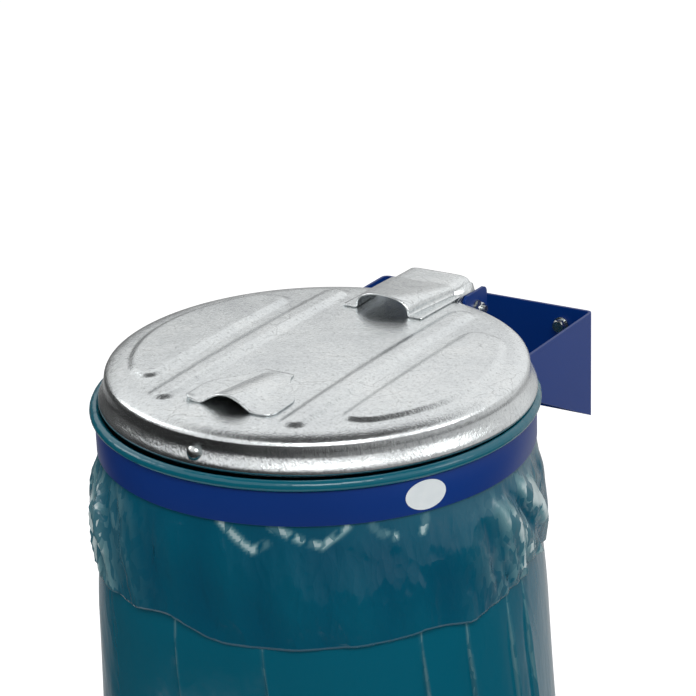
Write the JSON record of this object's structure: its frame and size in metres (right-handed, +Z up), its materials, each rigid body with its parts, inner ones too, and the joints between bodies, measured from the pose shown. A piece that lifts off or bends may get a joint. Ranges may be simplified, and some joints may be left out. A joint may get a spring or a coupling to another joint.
{
  "type": "wall-mounted waste sack holder",
  "caption": "Wall-mounted round waste sack holder: folded bracket, steel band with a hanging film sack and a hinged pressed steel lid with a finger grip.",
  "frame": {"origin": "middle of the wall plate's back face, which is the middle of the four wall bolts", "axes": "+Y into the wall, -Y to the front of the lid, +Z up, +X to the right seen from the front"},
  "size_m": [0.6932, 0.5997, 1.003],
  "materials": {
    "blue_coat": "dark blue powder coat, semi-gloss",
    "galvanised_sheet": "bright galvanised pressed sheet with a faint spangle",
    "ring_steel": "plain rolled steel",
    "zinc_fastener": "bright zinc plating",
    "film": "thin teal polyethylene film, soft sheen",
    "label": "blank pale sticker"
  },
  "bodies": {
    "holder": {"wall_bracket": "blue_coat", "holder_band": "blue_coat", "hinge_bracket": "blue_coat", "hinge_bolt": "zinc_fastener", "hinge_nut": "zinc_fastener", "hinge_washer_left": "zinc_fastener", "hinge_washer_right": "zinc_fastener", "inner_ring": "ring_steel", "sack": "film", "blank_label": "label", "wall_bolt_1": "zinc_fastener", "wall_washer_1": "zinc_fastener", "spring_washer_1": "zinc_fastener", "wall_bolt_2": "zinc_fastener", "wall_washer_2": "zinc_fastener", "spring_washer_2": "zinc_fastener", "wall_bolt_3": "zinc_fastener", "wall_washer_3": "zinc_fastener", "spring_washer_3": "zinc_fastener", "wall_bolt_4": "zinc_fastener", "wall_washer_4": "zinc_fastener", "spring_washer_4": "zinc_fastener"},
    "lid": {"lid": "galvanised_sheet", "lid_hinge_plate": "galvanised_sheet", "lid_handle": "galvanised_sheet", "lid_rivet": "zinc_fastener"}
  },
  "joints": [
    {"name": "lid_hinge", "type": "hinge", "parent": "holder", "child": "lid", "pos_m": [0, -0.098, 0.081], "axis": [-1, 0, 0], "range_deg": [0, 98]}
  ]
}
